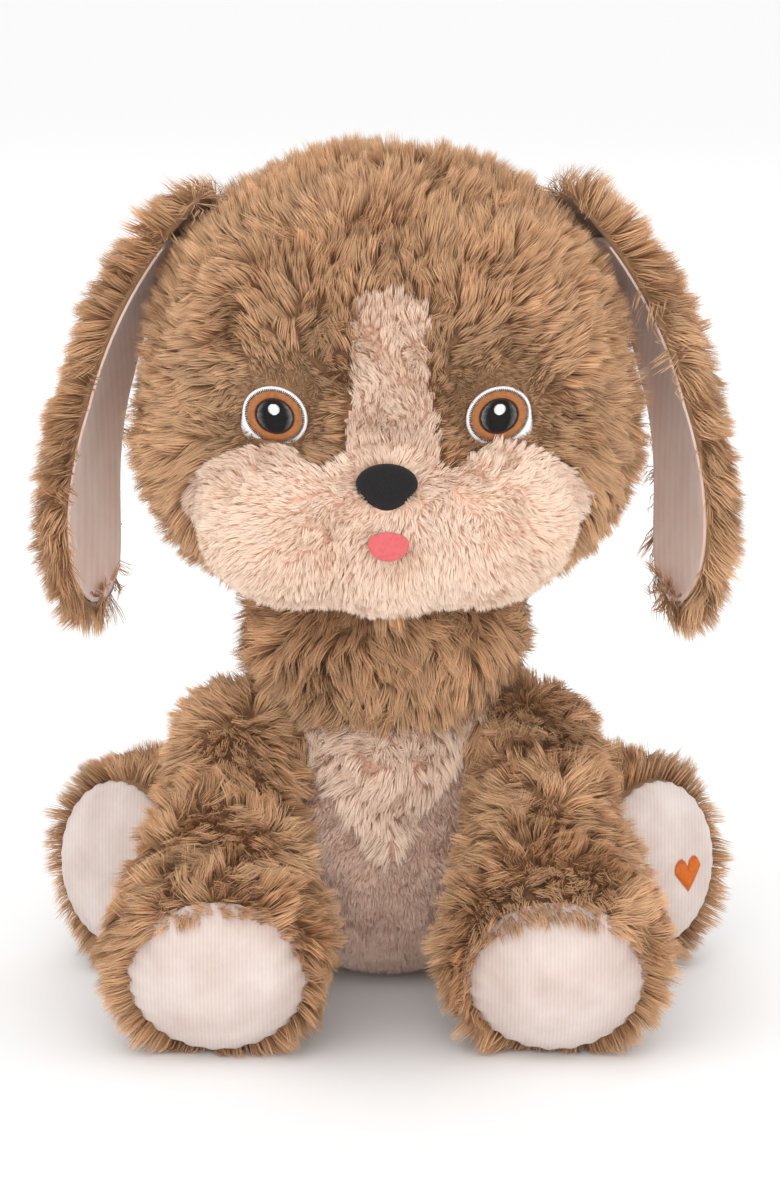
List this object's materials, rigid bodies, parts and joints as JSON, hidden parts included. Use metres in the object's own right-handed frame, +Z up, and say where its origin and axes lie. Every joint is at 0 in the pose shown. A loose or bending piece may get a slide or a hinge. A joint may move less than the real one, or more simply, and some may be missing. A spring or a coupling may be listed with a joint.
{
  "type": "plush dog",
  "caption": "Seated stuffed toy dog with shaggy brown pile, a pale muzzle and bib, long hanging ears, velvet soles, and a head, ears, legs and tail that move.",
  "frame": {"origin": "middle of the flat seat, on the surface that the dog sits on", "axes": "+Z up, -Y the way the dog faces, +X the dog's own left"},
  "size_m": [0.2296, 0.2103, 0.271],
  "materials": {
    "brown_pile": "matte",
    "cream_pile": "matte",
    "belly_pile": "matte",
    "velvet": "satin",
    "ear_velour": "satin",
    "stuffing": "matte",
    "bag_cloth": "matte",
    "pellets": "matte",
    "white_thread": "satin",
    "brown_thread": "satin",
    "black_thread": "satin",
    "orange_thread": "satin",
    "flock": "matte",
    "nose_plastic": "matte",
    "washer_plastic": "matte",
    "felt": "matte"
  },
  "bodies": {
    "torso": {"torso_left_panel": "brown_pile", "torso_right_panel": "brown_pile", "chest_bib": "cream_pile", "belly_panel": "belly_pile", "torso_stuffing": "stuffing", "bean_bag": "bag_cloth", "bean_fill": "pellets"},
    "neck": {"neck_cover": "brown_pile", "neck_stuffing": "stuffing"},
    "head": {"head_left_panel": "brown_pile", "head_right_panel": "brown_pile", "head_gusset": "brown_pile", "face_blaze": "cream_pile", "chin_panel": "brown_pile", "head_stuffing": "stuffing", "muzzle_cover": "cream_pile", "muzzle_stuffing": "stuffing", "left_eye_white": "white_thread", "left_eye_iris": "brown_thread", "left_eye_pupil": "black_thread", "left_eye_glint": "white_thread", "right_eye_white": "white_thread", "right_eye_iris": "brown_thread", "right_eye_pupil": "black_thread", "right_eye_glint": "white_thread", "nose_cap": "flock", "nose_post": "nose_plastic", "nose_washer": "washer_plastic", "tongue": "felt"},
    "left_ear": {"left_ear_cover": "brown_pile", "left_ear_lining": "ear_velour"},
    "right_ear": {"right_ear_cover": "brown_pile", "right_ear_lining": "ear_velour"},
    "left_arm": {"left_arm_cover": "brown_pile", "left_arm_stuffing": "stuffing", "left_paw_cap": "velvet"},
    "right_arm": {"right_arm_cover": "brown_pile", "right_arm_stuffing": "stuffing", "right_paw_cap": "velvet"},
    "left_leg": {"left_leg_cover": "brown_pile", "left_leg_stuffing": "stuffing", "left_sole": "velvet", "sole_motif": "orange_thread"},
    "right_leg": {"right_leg_cover": "brown_pile", "right_leg_stuffing": "stuffing", "right_sole": "velvet"},
    "tail": {"tail_cover": "brown_pile", "tail_stuffing": "stuffing"}
  },
  "joints": [
    {"name": "neck_turn", "type": "hinge", "parent": "torso", "child": "neck", "pos_m": [0, 0.004, 0.116], "axis": [0, 0, 1], "range_deg": [-30, 30], "stiffness_Nm_per_rad": 0.6},
    {"name": "head_nod", "type": "hinge", "parent": "neck", "child": "head", "pos_m": [0, 0.004, 0.116], "axis": [1, 0, 0], "range_deg": [-12, 8], "stiffness_Nm_per_rad": 1.2},
    {"name": "left_ear_lift", "type": "hinge", "parent": "head", "child": "left_ear", "pos_m": [0.06172, 0, 0.25543], "axis": [0.2419, -0.9703, 0], "range_deg": [0, 95]},
    {"name": "right_ear_lift", "type": "hinge", "parent": "head", "child": "right_ear", "pos_m": [-0.06172, 0, 0.25543], "axis": [0.2419, 0.9703, 0], "range_deg": [0, 95]},
    {"name": "left_arm_raise", "type": "hinge", "parent": "torso", "child": "left_arm", "pos_m": [0.049, -0.014, 0.082], "axis": [-1, 0, 0], "range_deg": [0, 40], "stiffness_Nm_per_rad": 0.4},
    {"name": "right_arm_raise", "type": "hinge", "parent": "torso", "child": "right_arm", "pos_m": [-0.049, -0.014, 0.082], "axis": [-1, 0, 0], "range_deg": [0, 40], "stiffness_Nm_per_rad": 0.4},
    {"name": "left_leg_spread", "type": "hinge", "parent": "torso", "child": "left_leg", "pos_m": [0.054, 0.031, 0.03186], "axis": [0, 0, 1], "range_deg": [0, 22], "stiffness_Nm_per_rad": 0.4},
    {"name": "right_leg_spread", "type": "hinge", "parent": "torso", "child": "right_leg", "pos_m": [-0.054, 0.031, 0.03186], "axis": [0, 0, -1], "range_deg": [0, 22], "stiffness_Nm_per_rad": 0.4},
    {"name": "tail_wag", "type": "hinge", "parent": "torso", "child": "tail", "pos_m": [0, 0.06, 0.026], "axis": [0, 0, 1], "range_deg": [-20, 20], "stiffness_Nm_per_rad": 0.05}
  ]
}
